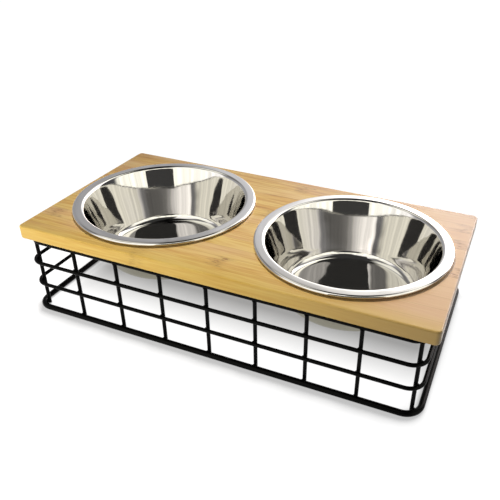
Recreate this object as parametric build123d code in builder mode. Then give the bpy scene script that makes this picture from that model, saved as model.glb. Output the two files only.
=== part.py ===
from build123d import *
from math import cos, radians, sin, tan
import os

# Board: laminated bamboo, lying flat on the wire frame, as large as the two bowls' rims and the
# margins round them
rim_gap = 15
rim_end_margin = 7.5
rim_side_margin = 8.5
board_thickness = 12
board_corner_radius = 4
board_edge_radius = 1.5
hole_clearance = 1.1
hole_edge_chamfer = 0.8

# Bowl: one pressed stainless sheet, its rim turned down; bend radii are those of mid-sheet
sheet_thickness = 0.8
rim_radius = 82.5
rim_height = 3.5
rim_turn_radius = 1.4
flange_width = 9
shoulder_radius = 2.6
wall_draft = 16.5
base_corner_radius = 9
bowl_depth = 54

# Wire frame: loops and uprights of round steel wire, spot welded where they cross
stand_height = 69
frame_end_inset = 6.5
frame_side_outset = 1.2
frame_corner_radius = 12.5
base_wire = 5
rail_wire = 3.2
upright_wire = 3.2
lower_rail_height = 26.5
upper_rail_height = 48.5
upright_count = 9
corner_upright_angle = 50
upright_foot_height = 1
weld_gap = 0.05

# Tabs welded inside the top loop, and the screws that hold the board to them
tab_width = 16
tab_reach = 20
tab_thickness = 2
tab_hole_radius = 2.2
screw_head_radius = 4
screw_head_height = 2.4
screw_head_bevel = 0.8
screw_shank_radius = 1.8
screw_length = 10
screw_point_length = 2.5
pilot_clearance = 0.05

# Sizes that follow: board and bowls. A name that ends in line is a height or radius of mid-sheet
bowl_x = rim_radius + rim_gap / 2
board_length = 2 * (bowl_x + rim_radius + rim_end_margin)
board_width = 2 * (rim_radius + rim_side_margin)
board_top = stand_height + board_thickness
rim_top = board_top + rim_height
rim_line = rim_radius - sheet_thickness / 2
flange_line = rim_top - sheet_thickness / 2
throat_radius = rim_radius - flange_width
hole_radius = throat_radius + sheet_thickness / 2 + hole_clearance
base_line = rim_top - bowl_depth + sheet_thickness / 2
wall_foot_radius = throat_radius - (flange_line - base_line) * tan(radians(wall_draft))

# Places that follow: frame. Every loop touches the uprights, the outer ones from outside and the
# top one from above, so the thicker base ring stands out further than the rails
rail_half_length = board_length / 2 - frame_end_inset
rail_half_width = board_width / 2 + frame_side_outset
inner_inset = (rail_wire + upright_wire) / 2 + weld_gap
inner_half_length = rail_half_length - inner_inset
inner_half_width = rail_half_width - inner_inset
inner_corner_radius = frame_corner_radius - inner_inset
base_outset = (base_wire - rail_wire) / 2
top_rail_height = stand_height - rail_wire / 2
upright_top = stand_height - rail_wire - weld_gap
end_upright_x = inner_half_length - inner_corner_radius * (1 - sin(radians(corner_upright_angle)))
end_upright_y = inner_half_width - inner_corner_radius * (1 - cos(radians(corner_upright_angle)))
upright_pitch = 2 * end_upright_x / (upright_count - 1)

# Places that follow: tabs and screws, midway between the last two uprights of each corner
tab_x = end_upright_x - upright_pitch / 2
tab_outer_y = inner_half_width - rail_wire / 2 - weld_gap
screw_y = tab_outer_y - tab_reach + tab_width / 2
tab_underside = stand_height - tab_thickness
pilot_radius = screw_shank_radius + pilot_clearance
pilot_depth = screw_length - tab_thickness + pilot_clearance
screw_places = [(-tab_x, -screw_y), (tab_x, -screw_y), (-tab_x, screw_y), (tab_x, screw_y)]

os.makedirs("parts", exist_ok=True)

# Board: edges eased all round, two holes for the bowls and four blind holes for the screws
with BuildPart() as bamboo_board:
    with BuildSketch(Plane.XY.offset(stand_height)):
        RectangleRounded(board_length, board_width, board_corner_radius)
    extrude(amount=board_thickness)
    fillet(bamboo_board.edges().group_by(Axis.Z)[-1], board_edge_radius)
    fillet(bamboo_board.edges().group_by(Axis.Z)[0], board_edge_radius)
    with Locations((-bowl_x, 0, board_top), (bowl_x, 0, board_top)):
        Hole(hole_radius)
    round_edges = bamboo_board.edges().filter_by(GeomType.CIRCLE)
    chamfer(round_edges.group_by(SortBy.RADIUS)[-1], hole_edge_chamfer)
    with BuildSketch(Plane.XY.offset(stand_height)):
        with Locations(*screw_places):
            Circle(pilot_radius)
    extrude(amount=pilot_depth, mode=Mode.SUBTRACT)
bamboo_board.part.label = "bamboo_board"
export_step(bamboo_board.part, "parts/bamboo_board.step")


def pressed_bowl(centre_x):
    """One bowl of even sheet: turned rim, flat flange, tapered wall, rounded corner and base."""
    with BuildPart() as bowl:
        with BuildSketch(Plane(origin=(centre_x, 0, 0), x_dir=(1, 0, 0), z_dir=(0, -1, 0))):
            with BuildLine():
                FilletPolyline(
                    (rim_line, board_top),
                    (rim_line, flange_line),
                    (throat_radius, flange_line),
                    (wall_foot_radius, base_line),
                    (0, base_line),
                    radius=(rim_turn_radius, shoulder_radius, base_corner_radius),
                )
            trace(line_width=sheet_thickness)
        revolve(axis=Axis((centre_x, 0, 0), (0, 0, 1)))
    return bowl


# Bowls: each hangs from its rim, which rests on the board all round the hole
left_bowl = pressed_bowl(-bowl_x)
left_bowl.part.label = "left_bowl"
export_step(left_bowl.part, "parts/left_bowl.step")

right_bowl = pressed_bowl(bowl_x)
right_bowl.part.label = "right_bowl"
export_step(right_bowl.part, "parts/right_bowl.step")


def wire_loop(half_length, half_width, corner_radius, height, wire):
    """A round wire bent to a level rounded rectangle, its ends butt welded together."""
    with BuildPart() as loop:
        with BuildLine(Plane.XY.offset(height)) as path:
            FilletPolyline(
                (-half_length, -half_width),
                (half_length, -half_width),
                (half_length, half_width),
                (-half_length, half_width),
                radius=corner_radius,
                close=True,
            )
        with BuildSketch(Plane(origin=path.line @ 0, z_dir=path.line % 0)):
            Circle(wire / 2)
        sweep()
    return loop


# Base ring: the thickest wire, lying on the floor
base_ring = wire_loop(
    rail_half_length + base_outset,
    rail_half_width + base_outset,
    frame_corner_radius + base_outset,
    base_wire / 2,
    base_wire,
)
base_ring.part.label = "base_ring"
export_step(base_ring.part, "parts/base_ring.step")

# Rails: two loops round the outside of the uprights
lower_rail = wire_loop(
    rail_half_length, rail_half_width, frame_corner_radius, lower_rail_height, rail_wire
)
lower_rail.part.label = "lower_rail"
export_step(lower_rail.part, "parts/lower_rail.step")

upper_rail = wire_loop(
    rail_half_length, rail_half_width, frame_corner_radius, upper_rail_height, rail_wire
)
upper_rail.part.label = "upper_rail"
export_step(upper_rail.part, "parts/upper_rail.step")

# Top rail: over the uprights' ends, carrying the board
top_rail = wire_loop(
    inner_half_length, inner_half_width, inner_corner_radius, top_rail_height, rail_wire
)
top_rail.part.label = "top_rail"
export_step(top_rail.part, "parts/top_rail.step")

# Uprights: an even row along each long side, its end wires set back round the corners
for side, outward in (("front", -1), ("back", 1)):
    for number in range(1, upright_count + 1):
        at_end = number in (1, upright_count)
        upright_x = (number - 1) * upright_pitch - end_upright_x
        upright_y = outward * (end_upright_y if at_end else inner_half_width)
        with BuildPart() as upright:
            with BuildSketch(Plane.XY.offset(upright_foot_height)):
                with Locations((upright_x, upright_y)):
                    Circle(upright_wire / 2)
            extrude(amount=upright_top - upright_foot_height)
        upright.part.label = f"{side}_upright_{number}"
        export_step(upright.part, f"parts/{side}_upright_{number}.step")

# Tabs: one near each corner, a flat plate with a round inner end, its outer end welded against
# the top loop and its upper face level with the board's underside
for row, outward in (("front", -1), ("back", 1)):
    for end, endward in (("left", -1), ("right", 1)):
        with BuildPart() as tab:
            with BuildSketch(Plane.XY.offset(tab_underside)):
                with Locations((endward * tab_x, outward * (tab_outer_y + screw_y) / 2)):
                    Rectangle(tab_width, tab_outer_y - screw_y)
                with Locations((endward * tab_x, outward * screw_y)):
                    Circle(tab_width / 2)
                    Circle(tab_hole_radius, mode=Mode.SUBTRACT)
            extrude(amount=tab_thickness)
        tab.part.label = f"{row}_{end}_tab"
        export_step(tab.part, f"parts/{row}_{end}_tab.step")

# Screw: a pan head under the tab, a plain shank and a point
with BuildPart() as screw:
    with BuildSketch(Plane.XZ):
        with BuildLine():
            Polyline(
                (0, tab_underside - screw_head_height),
                (screw_head_radius - screw_head_bevel, tab_underside - screw_head_height),
                (screw_head_radius, tab_underside - screw_head_height + screw_head_bevel),
                (screw_head_radius, tab_underside),
                (screw_shank_radius, tab_underside),
                (screw_shank_radius, tab_underside + screw_length - screw_point_length),
                (0, tab_underside + screw_length),
                close=True,
            )
        make_face()
    revolve(axis=Axis.Z)

# Screws: one up through each tab into the board
with BuildPart() as tab_screws:
    with Locations(*screw_places):
        add(screw.part)
tab_screws.part.label = "tab_screws"
export_step(tab_screws.part, "parts/tab_screws.step")
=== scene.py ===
from math import pi, radians, sin

import bpy
import numpy as np
from mathutils import Matrix, Vector


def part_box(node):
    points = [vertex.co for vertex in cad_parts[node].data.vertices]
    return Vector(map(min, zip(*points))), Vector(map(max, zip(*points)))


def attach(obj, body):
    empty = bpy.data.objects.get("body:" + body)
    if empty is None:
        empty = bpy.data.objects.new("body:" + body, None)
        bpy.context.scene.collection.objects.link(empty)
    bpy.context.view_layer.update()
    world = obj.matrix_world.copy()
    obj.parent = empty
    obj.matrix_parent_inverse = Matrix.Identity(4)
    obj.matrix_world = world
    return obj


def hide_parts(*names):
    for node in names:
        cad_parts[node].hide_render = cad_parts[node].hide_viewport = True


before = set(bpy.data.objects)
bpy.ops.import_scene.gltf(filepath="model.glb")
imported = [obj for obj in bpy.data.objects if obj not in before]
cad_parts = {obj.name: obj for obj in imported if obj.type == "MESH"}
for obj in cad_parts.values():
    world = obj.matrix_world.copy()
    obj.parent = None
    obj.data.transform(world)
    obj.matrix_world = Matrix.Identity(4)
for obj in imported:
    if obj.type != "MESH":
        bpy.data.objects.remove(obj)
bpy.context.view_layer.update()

# ---- Bamboo board ----
# The top is a board of bamboo strips glued edge to edge, sanded and sealed with thin satin
# lacquer. Its two holes are cut right through, so the same strips run on beyond each bowl.


def linear(code):
    """The linear colour of an sRGB hex code, with full alpha."""
    part = np.array([int(code[i : i + 2], 16) / 255 for i in (0, 2, 4)])
    part = np.where(part <= 0.04045, part / 12.92, ((part + 0.055) / 1.055) ** 2.4)
    return (*part.tolist(), 1.0)


def new_finish(name):
    """An empty material, its node tree, its Principled shader and its Object coordinates."""
    finish = bpy.data.materials.new(name)
    finish.use_nodes = True
    tree = finish.node_tree
    shader = tree.nodes["Principled BSDF"]
    place = tree.nodes.new("ShaderNodeTexCoord").outputs["Object"]
    return finish, tree, shader, place


def add(tree, kind, inputs, **settings):
    """One node with its settings; an input is given a value or another node's output."""
    node = tree.nodes.new(kind)
    for name, value in settings.items():
        setattr(node, name, value)
    for socket, value in inputs.items():
        if isinstance(value, bpy.types.NodeSocket):
            tree.links.new(value, node.inputs[socket])
        else:
            node.inputs[socket].default_value = value
    return node


# Bamboo, sanded and lacquered: golden tan in soft clouds, faint brown fibre streaks along the
# length, each strip a little lighter or darker, brown flecks where a stalk had a knuckle, satin
bamboo, tree, shader, place = new_finish("lacquered_bamboo")
strip_width = 0.0148
first_joint = 0.35
axes = add(tree, "ShaderNodeSeparateXYZ", {"Vector": place})
strip_place = add(
    tree,
    "ShaderNodeMath",
    {0: axes.outputs["Y"], 1: 1 / strip_width, 2: first_joint},
    operation="MULTIPLY_ADD",
)
strip = add(tree, "ShaderNodeMath", {0: strip_place.outputs[0]}, operation="FLOOR")
strip_luck = add(tree, "ShaderNodeTexWhiteNoise", {"W": strip.outputs[0]}, noise_dimensions="1D")

# Each strip is cut from its own place in its own stalk, so its pattern starts somewhere else
stalk_length = 0.7
own_place = add(
    tree,
    "ShaderNodeVectorMath",
    {0: strip_luck.outputs["Color"], 3: stalk_length},
    operation="SCALE",
)
strip_space = add(
    tree, "ShaderNodeVectorMath", {0: place, 1: own_place.outputs[0]}, operation="ADD"
)

# Five patterns, in patches per metre along and across the strips: fibres of 29 by 1.3 mm, streaks
# of 67 by 4 mm, clouds of 71 by 21 mm, a pink blush of 110 by 38 mm, and the flecks of a knuckle,
# of 6 by 1.3 mm. Real fibres are finer, and are drawn as coarse as they need to be to show
grains = {}
for name, along, over, detail in (
    ("fibre", 34.0, 760.0, 3.0),
    ("streak", 15.0, 250.0, 2.0),
    ("cloud", 14.0, 48.0, 2.0),
    ("blush", 9.0, 26.0, 1.0),
    ("fleck", 160.0, 800.0, 2.0),
):
    stretched = add(
        tree,
        "ShaderNodeMapping",
        {"Vector": strip_space.outputs[0], "Scale": (along, over, over)},
    )
    grains[name] = add(
        tree,
        "ShaderNodeTexNoise",
        {"Vector": stretched.outputs[0], "Scale": 1.0, "Detail": detail},
    ).outputs["Fac"]

# The tone runs from 0, pale, to 1, brown. Each strip has its own level, and three of the patterns
# add their shares to it
strip_contrast, paleness = 0.2, -0.7
tone = add(
    tree,
    "ShaderNodeMath",
    {0: strip_luck.outputs["Value"], 1: strip_contrast, 2: paleness},
    operation="MULTIPLY_ADD",
)
for name, share in (("fibre", 0.92), ("streak", 0.68), ("cloud", 0.5)):
    tone = add(
        tree,
        "ShaderNodeMath",
        {0: grains[name], 1: share, 2: tone.outputs[0]},
        operation="MULTIPLY_ADD",
    )
golds = ((0.28, "E8C878"), (0.45, "DCB35F"), (0.62, "CE9A48"), (0.85, "9C672A"))
colours = add(tree, "ShaderNodeValToRGB", {"Fac": tone.outputs[0]})
marks = colours.color_ramp.elements
marks.new(0.5)
marks.new(0.78)
for mark, (stop, code) in zip(marks, golds):
    mark.position = stop
    mark.color = linear(code)

# Bamboo reddens in patches where light has reached it. Towards the right end the top also turns
# paler pink-beige, which is painted sheen: the light from behind on the right, painted into the
# colour. A Mix of colours takes its share, first and second colour as 0, 6 and 7 and gives the
# result as 2
blush = add(
    tree,
    "ShaderNodeMapRange",
    {"Value": grains["blush"], "From Min": 0.45, "From Max": 0.7, "To Min": 0.0, "To Max": 0.5},
)
# Painted sheen: paler pink-beige rising towards the right end, standing in for the light from
# behind on the right
painted_sheen_right = add(
    tree,
    "ShaderNodeMapRange",
    {
        "Value": axes.outputs["X"],
        "From Min": 0.03,
        "From Max": 0.16,
        "To Min": 0.0,
        "To Max": 0.8,
    },
)
blush_and_painted_sheen = add(
    tree,
    "ShaderNodeMath",
    {0: blush.outputs[0], 1: painted_sheen_right.outputs[0]},
    operation="MAXIMUM",
)
blushed_and_sheened = add(
    tree,
    "ShaderNodeMix",
    {0: blush_and_painted_sheen.outputs[0], 6: colours.outputs[0], 7: linear("E0B890")},
    data_type="RGBA",
)

# Knuckles: a strip has one every 280 mm, each strip at its own place, as a band of brown flecks
# that fades out within 11 mm and wavers with the streaks
knuckle_spread, knuckle_waver, knuckle_start = 7.0, 0.03, 0.06
half_knuckle_pitch, knuckle_reach = 0.14, 0.011
knuckle_run = add(
    tree,
    "ShaderNodeMath",
    {0: strip_luck.outputs["Value"], 1: knuckle_spread, 2: axes.outputs["X"]},
    operation="MULTIPLY_ADD",
)
knuckle_run = add(
    tree,
    "ShaderNodeMath",
    {0: grains["streak"], 1: knuckle_waver, 2: knuckle_run.outputs[0]},
    operation="MULTIPLY_ADD",
)
knuckle_run = add(
    tree, "ShaderNodeMath", {0: knuckle_run.outputs[0], 1: knuckle_start}, operation="ADD"
)
from_knuckle = add(
    tree,
    "ShaderNodeMath",
    {0: knuckle_run.outputs[0], 1: half_knuckle_pitch},
    operation="PINGPONG",
)
halo = add(
    tree,
    "ShaderNodeMapRange",
    {
        "Value": from_knuckle.outputs[0],
        "From Min": 0.0,
        "From Max": knuckle_reach,
        "To Min": 1.0,
        "To Max": 0.0,
    },
    interpolation_type="SMOOTHSTEP",
)
flecks = add(
    tree,
    "ShaderNodeMapRange",
    {"Value": grains["fleck"], "From Min": 0.52, "From Max": 0.66, "To Min": 0.25, "To Max": 0.95},
)
knuckle_depth = add(
    tree, "ShaderNodeMath", {0: halo.outputs[0], 1: flecks.outputs[0]}, operation="MULTIPLY"
)
knuckled = add(
    tree,
    "ShaderNodeMix",
    {0: knuckle_depth.outputs[0], 6: blushed_and_sheened.outputs[2], 7: linear("8E5C2B")},
    data_type="RGBA",
)

# Glue: a hair of brown, under 1 mm wide, where two strips meet
across = add(tree, "ShaderNodeMath", {0: strip_place.outputs[0]}, operation="FRACT")
off_middle = add(tree, "ShaderNodeMath", {0: across.outputs[0], 1: 0.5}, operation="SUBTRACT")
off_middle = add(tree, "ShaderNodeMath", {0: off_middle.outputs[0]}, operation="ABSOLUTE")
glue = add(
    tree,
    "ShaderNodeMapRange",
    {
        "Value": off_middle.outputs[0],
        "From Min": 0.47,
        "From Max": 0.497,
        "To Min": 0.0,
        "To Max": 0.3,
    },
)
joined = add(
    tree,
    "ShaderNodeMix",
    {0: glue.outputs[0], 6: knuckled.outputs[2], 7: linear("9A6A33")},
    data_type="RGBA",
)

# Lacquer runs to the front edge as it dries, and is a deeper yellow there
run_edge, run_end = -0.089, -0.072
run = add(
    tree,
    "ShaderNodeMapRange",
    {
        "Value": axes.outputs["Y"],
        "From Min": run_edge,
        "From Max": run_end,
        "To Min": 0.6,
        "To Max": 0.0,
    },
)
edged = add(
    tree,
    "ShaderNodeMix",
    {0: run.outputs[0], 6: joined.outputs[2], 7: linear("D9B95A")},
    data_type="RGBA",
)
tree.links.new(edged.outputs[2], shader.inputs["Base Color"])
shader.inputs["Specular IOR Level"].default_value = 0.35
shader.inputs["Coat Weight"].default_value = 0.25
shader.inputs["Coat Roughness"].default_value = 0.3
gloss = add(
    tree,
    "ShaderNodeMapRange",
    {"Value": grains["fibre"], "From Min": 0.2, "From Max": 0.8, "To Min": 0.3, "To Max": 0.4},
)
tree.links.new(gloss.outputs[0], shader.inputs["Roughness"])
pores = add(
    tree, "ShaderNodeBump", {"Height": grains["fibre"], "Strength": 0.3, "Distance": 0.0001}
)
tree.links.new(pores.outputs[0], shader.inputs["Normal"])
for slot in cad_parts["bamboo_board"].material_slots:
    slot.material = bamboo

# ---- Bowls ----
# Each bowl is pressed from one stainless sheet: a flat rim whose edge is rolled under, a tapered
# wall and a rounded corner to its flat base. It hangs in its hole from the rim and lifts out.


def rounded_line(corners, radii, steps):
    """A line through the corners with each inner one rounded: an arc of that radius meets both
    straights, its points spread evenly from one touching point to the other."""
    corners = np.array(corners, float)
    runs = [corners[:1]]
    for before, corner, after, radius in zip(corners, corners[1:], corners[2:], radii):
        back = (before - corner) / np.linalg.norm(before - corner)
        ahead = (after - corner) / np.linalg.norm(after - corner)
        half = np.arccos(np.clip(back @ ahead, -1, 1)) / 2
        middle = (back + ahead) / np.linalg.norm(back + ahead)
        centre = corner + middle * radius / np.sin(half)
        first, last = (corner + side * radius / np.tan(half) - centre for side in (back, ahead))
        turn = np.linspace(0, 1, steps)[:, None]
        sweep = pi - 2 * half
        arc = (first * np.sin((1 - turn) * sweep) + last * np.sin(turn * sweep)) / np.sin(sweep)
        runs.append(centre + arc)
    runs.append(corners[-1:])
    return np.concatenate(runs)


def spread(line, gap):
    """The same line with points added along each straight, no further apart than the gap."""
    lengths = np.linalg.norm(np.diff(line, axis=0), axis=1)
    counts = np.maximum(1, np.ceil(lengths / gap)).astype(int)
    starts = np.repeat(np.arange(len(counts)), counts)
    step = np.arange(counts.sum()) - np.repeat(np.cumsum(counts) - counts, counts)
    share = step / counts[starts]
    points = line[starts] + share[:, None] * (line[starts + 1] - line[starts])
    return np.concatenate([points, line[-1:]])


def closed_skins(name, grids, tips, finishes, patches=None):
    """Closed surfaces as one piece. Each grid's rows run from its upper tip to its lower one, each
    row goes once round, and a fan of triangles joins each end row to its tip. A face has the first
    finish, or the one whose number patches gives for it."""
    copies, rows, around = grids.shape[:3]
    number = np.arange(rows * around).reshape(rows, around)
    after = np.roll(number, -1, axis=1)
    walls = np.stack([number[:-1], number[1:], after[1:], after[:-1]], -1).reshape(-1, 4)
    tip = np.full(around, rows * around)
    fans = np.concatenate(
        [np.stack([tip, number[0], after[0]], -1), np.stack([tip + 1, after[-1], number[-1]], -1)]
    )
    start = np.arange(copies)[:, None, None] * (rows * around + 2)
    points = np.concatenate([grids.reshape(copies, -1, 3), tips], axis=1).reshape(-1, 3)
    faces = (walls + start).reshape(-1, 4).tolist() + (fans + start).reshape(-1, 3).tolist()
    mesh = bpy.data.meshes.new(name)
    mesh.from_pydata(points.tolist(), [], faces)
    mesh.shade_smooth()
    for finish in finishes:
        mesh.materials.append(finish)
    if patches is not None:
        mesh.polygons.foreach_set("material_index", patches(rows, around))
    piece = bpy.data.objects.new(name, mesh)
    bpy.context.scene.collection.objects.link(piece)
    return piece


def turned(profile, centre, around):
    """A surface of revolution as a grid and its two tips: point (radius, height) of the profile
    goes round the upright axis through the centre in equal angles, and its two ends lie on it."""
    angle = np.arange(around) * 2 * pi / around
    radius, height = profile[1:-1, :1], profile[1:-1, 1:]
    across, along = centre[0] + radius * np.cos(angle), centre[1] + radius * np.sin(angle)
    grid = np.stack([across, along, height + 0 * angle], -1)
    tips = np.array([(*centre, profile[0, 1]), (*centre, profile[-1, 1])])
    return grid, tips


# The bowl in section, as radii and heights of mid-sheet from the rim's rolled edge to the base's
# middle, with the radius of each bend in turn. The sheet's two faces lie half its thickness away
sheet = 0.0008
bowl_x = 0.09
rolled_edge, rim_radius, throat_radius, base_radius = 0.0803, 0.0821, 0.0735, 0.05774
flange_height, rim_foot, base_height = 0.0841, 0.0814, 0.0309
bends = (0.0012, 0.0014, 0.0026, 0.009)
middle_line = rounded_line(
    [
        (rolled_edge, rim_foot),
        (rim_radius, rim_foot),
        (rim_radius, flange_height),
        (throat_radius, flange_height),
        (base_radius, base_height),
        (0.0, base_height),
    ],
    bends,
    steps=13,
)
middle_line = spread(middle_line, gap=0.0025)
along = np.gradient(middle_line, axis=0)
along /= np.linalg.norm(along, axis=1)[:, None]
inward = np.stack([along[:, 1], -along[:, 0]], -1)
inner_face = middle_line + inward * sheet / 2
outer_face = middle_line - inward * sheet / 2
bowl_profile = np.concatenate([inner_face[::-1], outer_face])
bowl_profile[[0, -1], 0] = 0.0


def inside_and_outside(rows, around):
    """The number of each face's finish: 0 from the base's middle up to the edge of the rim, 1 back
    down the outside, then 0 for the fan inside the base and 1 for the one below it."""
    half = rows // 2
    wall_finish = np.repeat(np.arange(rows - 1) >= half, around)
    fan_finish = [np.zeros(around, bool), np.ones(around, bool)]
    return np.concatenate([wall_finish, *fan_finish]).astype(int)


# Stainless sheet, pressed and polished on a wheel: clear but slightly uneven reflections, drawn out
# by rings round the bowl's axis. Outside it is only ground, so it is dull; its darker olive grey is
# partly painted shade, for the outside hangs under the board. Real polishing rings are hair-fine,
# and are drawn 1.1 mm wide to show. The dents are 33 mm wide
rings_per_metre, dents_per_metre = 900.0, 30.0
for side, middle_x in (("left", -bowl_x), ("right", bowl_x)):
    finishes = []
    for name, code, sharp, hazy in (
        ("polished_stainless", "CFCDC9", 0.03, 0.07),
        ("ground_stainless", "8B887A", 0.3, 0.45),
    ):
        finish, tree, shader, place = new_finish(f"{name}_{side}")
        finishes.append(finish)
        shader.inputs["Base Color"].default_value = linear(code)
        shader.inputs["Metallic"].default_value = 1.0
        from_axis = add(
            tree, "ShaderNodeMapping", {"Vector": place, "Location": (-middle_x, 0.0, 0.0)}
        )
        axes = add(tree, "ShaderNodeSeparateXYZ", {"Vector": from_axis.outputs[0]})
        flat = add(
            tree, "ShaderNodeCombineXYZ", {"X": axes.outputs["X"], "Y": axes.outputs["Y"]}
        )
        radius = add(tree, "ShaderNodeVectorMath", {0: flat.outputs[0]}, operation="LENGTH")
        facing = add(tree, "ShaderNodeVectorMath", {0: flat.outputs[0]}, operation="NORMALIZE")
        outward_run = add(
            tree,
            "ShaderNodeMath",
            {0: radius.outputs["Value"], 1: axes.outputs["Z"]},
            operation="ADD",
        )
        ring_count = add(
            tree,
            "ShaderNodeMath",
            {0: outward_run.outputs[0], 1: rings_per_metre},
            operation="MULTIPLY",
        )
        rings = add(
            tree,
            "ShaderNodeTexNoise",
            {
                "Vector": facing.outputs[0],
                "W": ring_count.outputs[0],
                "Scale": 1.0,
                "Detail": 2.0,
            },
            noise_dimensions="4D",
        )
        gloss = add(
            tree,
            "ShaderNodeMapRange",
            {
                "Value": rings.outputs["Fac"],
                "From Min": 0.3,
                "From Max": 0.7,
                "To Min": sharp,
                "To Max": hazy,
            },
        )
        tree.links.new(gloss.outputs[0], shader.inputs["Roughness"])
        dents = add(
            tree,
            "ShaderNodeTexNoise",
            {"Vector": place, "Scale": dents_per_metre, "Detail": 1.0},
        )
        uneven = add(
            tree,
            "ShaderNodeBump",
            {"Height": dents.outputs["Fac"], "Strength": 0.5, "Distance": 0.0007},
        )
        hairlines = add(
            tree,
            "ShaderNodeBump",
            {
                "Height": rings.outputs["Fac"],
                "Strength": 0.06,
                "Distance": 0.00002,
                "Normal": uneven.outputs[0],
            },
        )
        tree.links.new(hairlines.outputs[0], shader.inputs["Normal"])
    grid, tips = turned(bowl_profile, (middle_x, 0.0), around=256)
    bowl = closed_skins(
        f"{side}_bowl_sheet", grid[None], tips[None], finishes, inside_and_outside
    )
    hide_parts(f"{side}_bowl")
    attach(bowl, f"{side}_bowl")

# ---- Wire cage ----
# The stand is round steel wire: bent loops and straight uprights, resistance welded at each
# crossing, then powder coated black all over.

# Black powder coat on steel wire: near black, with a narrow dull highlight along each wire and
# the faint orange peel of baked powder, about 1.1 mm across
coat, tree, shader, place = new_finish("black_powder_coat")
peel_per_metre = 900.0
shader.inputs["Base Color"].default_value = linear("050505")
shader.inputs["Specular IOR Level"].default_value = 0.05
peel = add(
    tree, "ShaderNodeTexNoise", {"Vector": place, "Scale": peel_per_metre, "Detail": 1.0}
)
gloss = add(
    tree,
    "ShaderNodeMapRange",
    {
        "Value": peel.outputs["Fac"],
        "From Min": 0.3,
        "From Max": 0.7,
        "To Min": 0.28,
        "To Max": 0.38,
    },
)
tree.links.new(gloss.outputs[0], shader.inputs["Roughness"])
skin = add(
    tree, "ShaderNodeBump", {"Height": peel.outputs["Fac"], "Strength": 0.3, "Distance": 0.0001}
)
tree.links.new(skin.outputs[0], shader.inputs["Normal"])
for name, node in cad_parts.items():
    if name.endswith(("_rail", "_ring", "_tab")) or "_upright_" in name:
        for slot in node.material_slots:
            slot.material = coat


def lumps(centres, half_axes):
    """Ellipsoids as grids and tips: centre plus the three half axes times a point of the unit
    sphere, whose rows go down from its top in equal steps."""
    down, angle = np.linspace(0, pi, 8)[1:-1, None], np.arange(12) * 2 * pi / 12
    level = np.cos(down) + 0 * angle
    ball = np.stack([np.sin(down) * np.cos(angle), np.sin(down) * np.sin(angle), level], -1)
    grids = centres[:, None, None] + np.einsum("rai,cij->craj", ball, half_axes)
    tips = centres[:, None] + np.array([[1.0], [-1.0]]) * half_axes[:, None, 2]
    return grids, tips


# Welds: a small lump of squeezed metal in each crossing, two beads under each tab, and a collar
# at the back of each rail where its ends were butted together. The end uprights stand on the bends
# of the loops, turned by 50 degrees. Lump sizes are half axes: outward, sideways and upward for
# crossings and upright ends, and along x, y and z for seams and beads
uprights_a_side = 9
corner_turn = radians(50)
wire_radius = 0.0016
loop_heights = (0.0025, 0.0265, 0.0485)
upright_top = 0.0658
seam_x, rail_y = 0.021, 0.0922
tab_x, tab_edge_y = 0.14708, 0.0871
bead_height, half_bead_gap = 0.0669, 0.0045
crossing_size, end_size = (0.0011, 0.0023, 0.0022), (0.0021, 0.0021, 0.0009)
seam_size, bead_size = (0.0013, 0.0019, 0.0019), (0.0027, 0.0009, 0.0007)
spots, outward = [], []
for side, sign in (("front", -1.0), ("back", 1.0)):
    for number in range(1, uprights_a_side + 1):
        low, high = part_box(f"{side}_upright_{number}")
        spots.append(((low.x + high.x) / 2, (low.y + high.y) / 2, 0.0))
        turn = {1: -corner_turn, uprights_a_side: corner_turn}.get(number, 0.0)
        outward.append((np.sin(turn), sign * np.cos(turn), 0.0))
spots, outward = np.array(spots), np.array(outward)
upward = np.tile((0.0, 0.0, 1.0), (len(spots), 1))
sideways = np.cross(upward, outward)
crossing, ending = (
    np.stack([outward * deep, sideways * wide, upward * tall], 1)
    for deep, wide, tall in (crossing_size, end_size)
)
centres = [spots + outward * wire_radius + upward * height for height in loop_heights]
centres.append(spots + upward * upright_top)
half_axes = [crossing] * len(loop_heights) + [ending]
seams = [(seam_x, rail_y, height) for height in loop_heights[1:]]
centres.append(np.array(seams))
half_axes.append(np.tile(np.diag(seam_size), (len(seams), 1, 1)))
beads = [
    (x + step, y, bead_height)
    for x in (-tab_x, tab_x)
    for y in (-tab_edge_y, tab_edge_y)
    for step in (-half_bead_gap, half_bead_gap)
]
centres.append(np.array(beads))
half_axes.append(np.tile(np.diag(bead_size), (len(beads), 1, 1)))
grids, tips = lumps(np.concatenate(centres), np.concatenate(half_axes))
welds = closed_skins("welds", grids, tips, [coat])
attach(welds, "stand")

# ---- Screws ----
# Four black wood screws come up through the tabs and hold the board. Each is turned and thread
# rolled from steel, with a pan head and a cross recess for the driver.
screw_y = 0.0753
shank_radius, head_radius = 0.0018, 0.004
tip_height, taper_height, seat_height, pan_edge, pan_foot = 0.077, 0.0745, 0.067, 0.0648, 0.0646
profile = rounded_line(
    [
        (0.0, tip_height),
        (shank_radius, taper_height),
        (shank_radius, seat_height),
        (head_radius, seat_height),
        (head_radius, pan_edge),
        (0.0, pan_foot),
    ],
    radii=(0.0002, 0.0002, 0.0003, 0.0014),
    steps=5,
)
profile = spread(profile, gap=0.0002)
grid, tips = turned(profile, (0.0, 0.0), around=60)

# Thread: the radius shrinks by up to a quarter, by how far a point lies from a helix round the
# axis, but not below the thread's start or within the tip
pitch, thread_start, thread_depth, tip_radius = 0.0016, 0.0682, 0.25, 0.0003
radius, height = np.hypot(grid[..., 0], grid[..., 1]), grid[..., 2]
angle = np.arctan2(grid[..., 1], grid[..., 0])
thread = np.abs(((height / pitch - angle / (2 * pi)) % 1.0) * 2 - 1)
threaded = (height > thread_start) & (radius > tip_radius)
groove = np.where(threaded, thread_depth * (1 - thread), 0.0)
grid[..., :2] *= (1 - groove)[..., None]

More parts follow.
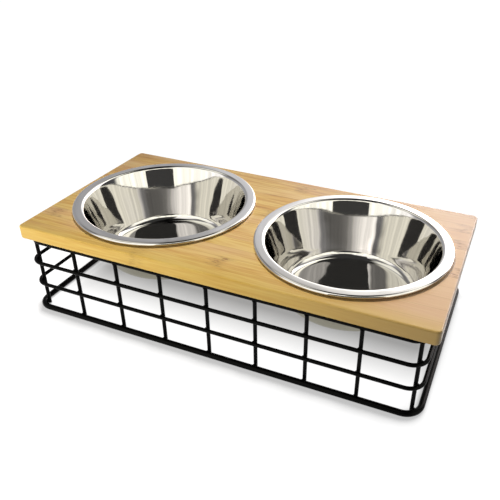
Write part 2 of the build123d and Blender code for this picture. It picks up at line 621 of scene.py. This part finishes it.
# Recess: the head's face is pushed up in a cross. Its arms have sloping sides and ends, whose width
# is a share of half an arm's width and of its length
arm_half_width, arm_length, recess_depth, face_top = 0.0005, 0.0021, 0.0011, 0.066
side_slope, end_slope = 0.4, 0.15
arm = np.minimum(np.abs(grid[..., 0]), np.abs(grid[..., 1])) / arm_half_width
reach_out = np.maximum(np.abs(grid[..., 0]), np.abs(grid[..., 1])) / arm_length
cut = np.clip((1 + side_slope / 2 - arm) / side_slope, 0, 1)
cut *= np.clip((1 - reach_out) / end_slope, 0, 1)
grid[..., 2] += np.where(height < face_top, cut * recess_depth, 0.0)
tips[1, 2] += recess_depth
places = np.array([(x, y, 0.0) for x in (-tab_x, tab_x) for y in (-screw_y, screw_y)])

# Black oxide on steel: almost black, thin and oily, so edges and threads catch a grey shine that
# is uneven over about 1 mm
oxide, tree, shader, place = new_finish("black_oxide")
shader.inputs["Base Color"].default_value = linear("2A2A2C")
shader.inputs["Metallic"].default_value = 1.0
cloudy = add(tree, "ShaderNodeTexNoise", {"Vector": place, "Scale": 900.0, "Detail": 3.0})
gloss = add(
    tree,
    "ShaderNodeMapRange",
    {
        "Value": cloudy.outputs["Fac"],
        "From Min": 0.3,
        "From Max": 0.7,
        "To Min": 0.28,
        "To Max": 0.45,
    },
)
tree.links.new(gloss.outputs[0], shader.inputs["Roughness"])
grids, tips = grid[None] + places[:, None, None], tips[None] + places[:, None]
screws = closed_skins("threaded_screws", grids, tips, [oxide])
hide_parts("tab_screws")
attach(screws, "stand")

# ---- Floor ----
# A plain white paper sweep. Its own white is seen by camera, glossy and transmission rays, and two
# soft shades of the object are painted into that white: under the board and beside the base ring.
floor_mesh = bpy.data.meshes.new("floor")
reach = 6.0
corners = [(-reach, -reach, 0.0), (reach, -reach, 0.0), (reach, reach, 0.0), (-reach, reach, 0.0)]
floor_mesh.from_pydata(corners, [], [(0, 1, 2, 3)])
floor = bpy.data.objects.new("floor", floor_mesh)
bpy.context.scene.collection.objects.link(floor)

# White background paper, uncoated and off a roll: it scatters light evenly and has no shine
paper, tree, shader, place = new_finish("white_paper")
shader.inputs["Roughness"].default_value = 1.0
shader.inputs["Specular IOR Level"].default_value = 0.0
path = add(tree, "ShaderNodeLightPath", {})
seen = add(
    tree,
    "ShaderNodeMath",
    {0: path.outputs["Is Camera Ray"], 1: path.outputs["Is Glossy Ray"]},
    operation="MAXIMUM",
)
seen = add(
    tree,
    "ShaderNodeMath",
    {0: seen.outputs[0], 1: path.outputs["Is Transmission Ray"]},
    operation="MAXIMUM",
)
shade = add(
    tree,
    "ShaderNodeMix",
    {0: seen.outputs[0], 6: linear("8C8C8E"), 7: linear("9C9CA0")},
    data_type="RGBA",
)
tree.links.new(shade.outputs[2], shader.inputs["Base Color"])

# Painted shadow under the board, placed by position: the floor is clear at the front of the cage,
# as where light reaches in, darkest under the middle, and clear again behind the board and beyond
# both of its ends. Each row gives an axis, the place where the shade ends and the place where it
# has come to its full depth
shade_depth = 0.69
where = add(tree, "ShaderNodeSeparateXYZ", {"Vector": place})
board_shadow = None
for axis, clear_at, dark_at in (
    ("Y", -0.062, -0.014),
    ("Y", 0.17, 0.05),
    ("X", -0.2, -0.15),
    ("X", 0.186, 0.155),
):
    fade = add(
        tree,
        "ShaderNodeMapRange",
        {"Value": where.outputs[axis], "From Min": clear_at, "From Max": dark_at},
        interpolation_type="SMOOTHSTEP" if board_shadow else "LINEAR",
    )
    if board_shadow:
        fade = add(
            tree,
            "ShaderNodeMath",
            {0: board_shadow.outputs[0], 1: fade.outputs[0]},
            operation="MULTIPLY",
        )
    board_shadow = fade
own_light = add(
    tree,
    "ShaderNodeMath",
    {0: board_shadow.outputs[0], 1: -shade_depth, 2: 1.0},
    operation="MULTIPLY_ADD",
)

# Painted shade beside the base ring: how much stands within 20 mm of a spot, behind it and a little
# to its right, so the shade comes out in front of the ring and at its left end
backward = add(tree, "ShaderNodeCombineXYZ", {"X": 0.25, "Y": 0.75, "Z": 0.6})
beside = add(
    tree,
    "ShaderNodeAmbientOcclusion",
    {"Distance": 0.02, "Normal": backward.outputs[0]},
    samples=16,
)
beside = add(
    tree,
    "ShaderNodeMapRange",
    {
        "Value": beside.outputs["AO"],
        "From Min": 0.6,
        "From Max": 0.88,
        "To Min": 0.5,
        "To Max": 1.0,
    },
)
strength = add(
    tree, "ShaderNodeMath", {0: seen.outputs[0], 1: beside.outputs[0]}, operation="MULTIPLY"
)
strength = add(
    tree, "ShaderNodeMath", {0: strength.outputs[0], 1: own_light.outputs[0]}, operation="MULTIPLY"
)
shader.inputs["Emission Color"].default_value = (1.0, 1.0, 1.0, 1.0)
tree.links.new(strength.outputs[0], shader.inputs["Emission Strength"])
floor_mesh.materials.append(paper)

# ---- Studio ----
# White backdrop all round for the camera. Metal and lacquer see softboxes and black cards in
# front of it, by their direction from the object: three bands of them, one above the other.
world = bpy.data.worlds.new("studio")
bpy.context.scene.world = world
world.use_nodes = True
tree = world.node_tree
tree.nodes.clear()
towards = add(tree, "ShaderNodeTexCoord", {})
axes = add(tree, "ShaderNodeSeparateXYZ", {"Vector": towards.outputs["Generated"]})
bearing = add(
    tree, "ShaderNodeMath", {0: axes.outputs["X"], 1: axes.outputs["Y"]}, operation="ARCTAN2"
)
bearing = add(
    tree, "ShaderNodeMath", {0: bearing.outputs[0], 1: 0.5 / pi, 2: 0.5}, operation="MULTIPLY_ADD"
)
brightest = 10.0


def band(stops):
    """A ramp round the table: bearings in degrees clockwise from the back, brightness, tint."""
    ramp = add(tree, "ShaderNodeValToRGB", {"Fac": bearing.outputs[0]})
    marks = ramp.color_ramp.elements
    while len(marks) < len(stops):
        marks.new(0.5)
    for mark, (degrees, level, tint) in zip(marks, stops):
        mark.position = degrees / 360 + 0.5
        mark.color = (*(level / brightest * part for part in tint), 1.0)
    return ramp


# Low band, up to 29 degrees: a pink-white softbox straight behind, with a black card at its right,
# and a dim wall at the left
ivory, cool = (1.0, 0.98, 0.88), (0.97, 0.97, 1.02)
neutral, rosy = (1.0, 0.98, 0.97), (1.0, 0.9, 0.88)
near_table = band(
    [
        (-180, 1.9, ivory),
        (-122, 1.8, neutral),
        (-112, 0.55, cool),
        (-44, 0.55, cool),
        (-34, 0.62, cool),
        (-24, 1.0, cool),
        (-14, 2.4, neutral),
        (-6, 6.5, rosy),
        (3, 7.4, rosy),
        (38, 6.7, rosy),
        (46, 0.1, cool),
        (70, 0.1, cool),
        (75, 1.6, ivory),
        (96, 1.9, ivory),
        (180, 1.9, ivory),
    ]
)

# Middle band, from 35 to 44 degrees: a softer light behind, and the left wall dark
round_table = band(
    [
        (-180, 1.9, ivory),
        (-164, 2.0, ivory),
        (-124, 1.7, ivory),
        (-117, 1.4, neutral),
        (-110, 0.5, cool),
        (-92, 0.24, neutral),
        (-60, 0.27, neutral),
        (-36, 0.4, neutral),
        (-20, 0.8, neutral),
        (-4, 1.75, neutral),
        (10, 2.3, neutral),
        (30, 2.2, neutral),
        (34, 2.6, neutral),
        (44, 2.5, neutral),
        (48, 0.42, cool),
        (58, 0.5, cool),
        (68, 1.5, ivory),
        (90, 1.85, ivory),
        (140, 1.8, ivory),
        (180, 1.9, ivory),
    ]
)

# High band, from 50 degrees: a black card behind, a softbox at its right, and paler and darker
# stretches of the ceiling round the rest
overhead = band(
    [
        (-180, 1.7, neutral),
        (-152, 1.5, neutral),
        (-142, 0.35, neutral),
        (-112, 0.3, neutral),
        (-104, 1.3, ivory),
        (-62, 1.5, ivory),
        (-52, 0.9, neutral),
        (-42, 0.06, cool),
        (4, 0.06, cool),
        (14, 1.7, ivory),
        (24, 2.5, ivory),
        (38, 2.3, ivory),
        (44, 0.7, neutral),
        (108, 0.8, neutral),
        (124, 0.2, neutral),
        (162, 0.2, neutral),
        (172, 1.6, neutral),
    ]
)

# Each band gives way to the next one over a few degrees of height, and from 75 degrees up the
# studio is dark. A little clutter round the walls breaks up what each band shows
room = near_table.outputs[0]
for upper_band, from_degrees, to_degrees in ((round_table, 29, 35), (overhead, 44, 50)):
    risen = add(
        tree,
        "ShaderNodeMapRange",
        {
            "Value": axes.outputs["Z"],
            "From Min": sin(radians(from_degrees)),
            "From Max": sin(radians(to_degrees)),
        },
    )
    room = add(
        tree,
        "ShaderNodeMix",
        {0: risen.outputs[0], 6: room, 7: upper_band.outputs[0]},
        data_type="RGBA",
    ).outputs[2]
zenith = add(
    tree,
    "ShaderNodeMapRange",
    {
        "Value": axes.outputs["Z"],
        "From Min": sin(radians(68)),
        "From Max": sin(radians(75)),
        "To Min": brightest,
        "To Max": 0.12,
    },
)
compass = add(tree, "ShaderNodeCombineXYZ", {"X": axes.outputs["X"], "Y": axes.outputs["Y"]})
compass = add(tree, "ShaderNodeVectorMath", {0: compass.outputs[0]}, operation="NORMALIZE")
clutter = add(
    tree,
    "ShaderNodeTexNoise",
    {"Vector": compass.outputs[0], "Scale": 9.0, "Detail": 4.0, "Roughness": 0.65},
)
clutter = add(
    tree,
    "ShaderNodeMapRange",
    {
        "Value": clutter.outputs["Fac"],
        "From Min": 0.3,
        "From Max": 0.7,
        "To Min": 0.68,
        "To Max": 1.2,
    },
)
level = add(
    tree, "ShaderNodeMath", {0: zenith.outputs[0], 1: clutter.outputs[0]}, operation="MULTIPLY"
)

# Glossy rays see the studio, camera and transmission rays the white backdrop, and all else is lit
# by a weak even light
in_metal = add(tree, "ShaderNodeBackground", {"Color": room, "Strength": level.outputs[0]})
backdrop = add(tree, "ShaderNodeBackground", {"Color": (1.0, 1.0, 1.0, 1.0), "Strength": 1.0})
soft_light = add(tree, "ShaderNodeBackground", {"Color": linear("FBFAF8"), "Strength": 0.11})
path = add(tree, "ShaderNodeLightPath", {})
clear = add(
    tree,
    "ShaderNodeMath",
    {0: path.outputs["Is Camera Ray"], 1: path.outputs["Is Transmission Ray"]},
    operation="MAXIMUM",
)
lit = add(
    tree,
    "ShaderNodeMixShader",
    {"Fac": path.outputs["Is Glossy Ray"], 1: soft_light.outputs[0], 2: in_metal.outputs[0]},
)
shown = add(
    tree,
    "ShaderNodeMixShader",
    {"Fac": clear.outputs[0], 1: lit.outputs[0], 2: backdrop.outputs[0]},
)
add(tree, "ShaderNodeOutputWorld", {"Surface": shown.outputs[0]})

# Black card, dyed through and matt, with a faint painted glow that stands in for the room's light
# and lifts it to a very dark grey. The two cards near the lens are seen only as reflections
black, _, shader, _ = new_finish("black_card")
shader.inputs["Base Color"].default_value = linear("181819")
shader.inputs["Roughness"].default_value = 0.9
shader.inputs["Emission Color"].default_value = (1.0, 1.0, 1.0, 1.0)
shader.inputs["Emission Strength"].default_value = 0.04


def card(name, corners):
    """A flat card through its corners in turn, seen by glossy rays alone."""
    mesh = bpy.data.meshes.new(name)
    mesh.from_pydata(corners, [], [range(len(corners))])
    mesh.materials.append(black)
    holder = bpy.data.objects.new(name, mesh)
    bpy.context.scene.collection.objects.link(holder)
    holder.visible_camera = holder.visible_diffuse = holder.visible_shadow = False
    holder.visible_transmission = False


# The lens card stands upright below the lens, 380 mm wide, and its top is an arch: the foot plus
# the rise times the fourth root of 1 - across ** 4. The top card hangs level over the board
card_middle, card_half = np.array([0.2125, -0.345]), np.array([0.1575, 0.105])
card_foot, card_rise = 0.02, 0.3
across = np.linspace(-1, 1, 41)
arch = card_foot + card_rise * (1 - across**4) ** 0.25
outline = [(*(card_middle + card_half * step), height) for step, height in zip(across, arch)]
card("lens_card", outline)
left, right, near, far, top = -0.04, 0.34, -0.32, 0.24, 0.63
card("top_card", [(left, near, top), (right, near, top), (right, far, top), (left, far, top)])


def lamp(name, power, tint, place, aim, beam):
    """A round softbox at a place, its soft-edged beam towards its aim; metal sees the studio."""
    light = bpy.data.lights.new(name, "SPOT")
    light.energy = power
    light.color = linear(tint)[:3]
    light.spot_size = beam
    light.spot_blend = 1.0
    light.shadow_soft_size = 0.1
    holder = bpy.data.objects.new(name, light)
    holder.location = place
    holder.rotation_euler = (Vector(aim) - Vector(place)).to_track_quat("-Z", "Y").to_euler()
    holder.visible_glossy = False
    bpy.context.scene.collection.objects.link(holder)


# One lamp hangs behind the board and lights its top, the other stands low in front and lights its
# front edge. Each row gives power, tint, place, aim and the beam's angle in degrees
for name, power, tint, place, aim, beam in (
    ("back_softbox", 46.5, "FFF9F0", (-0.35, 0.47, 1.01), (0.05, -0.14, 0.08), 40),
    ("front_softbox", 26.5, "FFF8EA", (-0.42, -0.8, 0.12), (-0.17, -0.09, 0.07), 56),
):
    lamp(name, power, tint, place, aim, radians(beam))

# ---- Camera ----
# The photograph's viewpoint: in front, a little to the right and well above the board. It is
# turned left, tipped down and slightly rolled, by angles in radians.
lens = bpy.data.cameras.new("camera")
lens.sensor_width = 36.0
lens.lens = 43.17
lens.shift_x = -0.0824
lens.clip_start = 0.01
turn_left, tip_down, roll = 0.378, 0.544, 0.022
camera = bpy.data.objects.new("camera", lens)
camera.matrix_world = (
    Matrix.Translation((0.20113, -0.41772, 0.33154))
    @ Matrix.Rotation(turn_left, 4, "Z")
    @ Matrix.Rotation(pi / 2 - tip_down, 4, "X")
    @ Matrix.Rotation(roll, 4, "Z")
)
bpy.context.scene.collection.objects.link(camera)
bpy.context.scene.camera = camera
bpy.context.scene.view_settings.view_transform = "Standard"
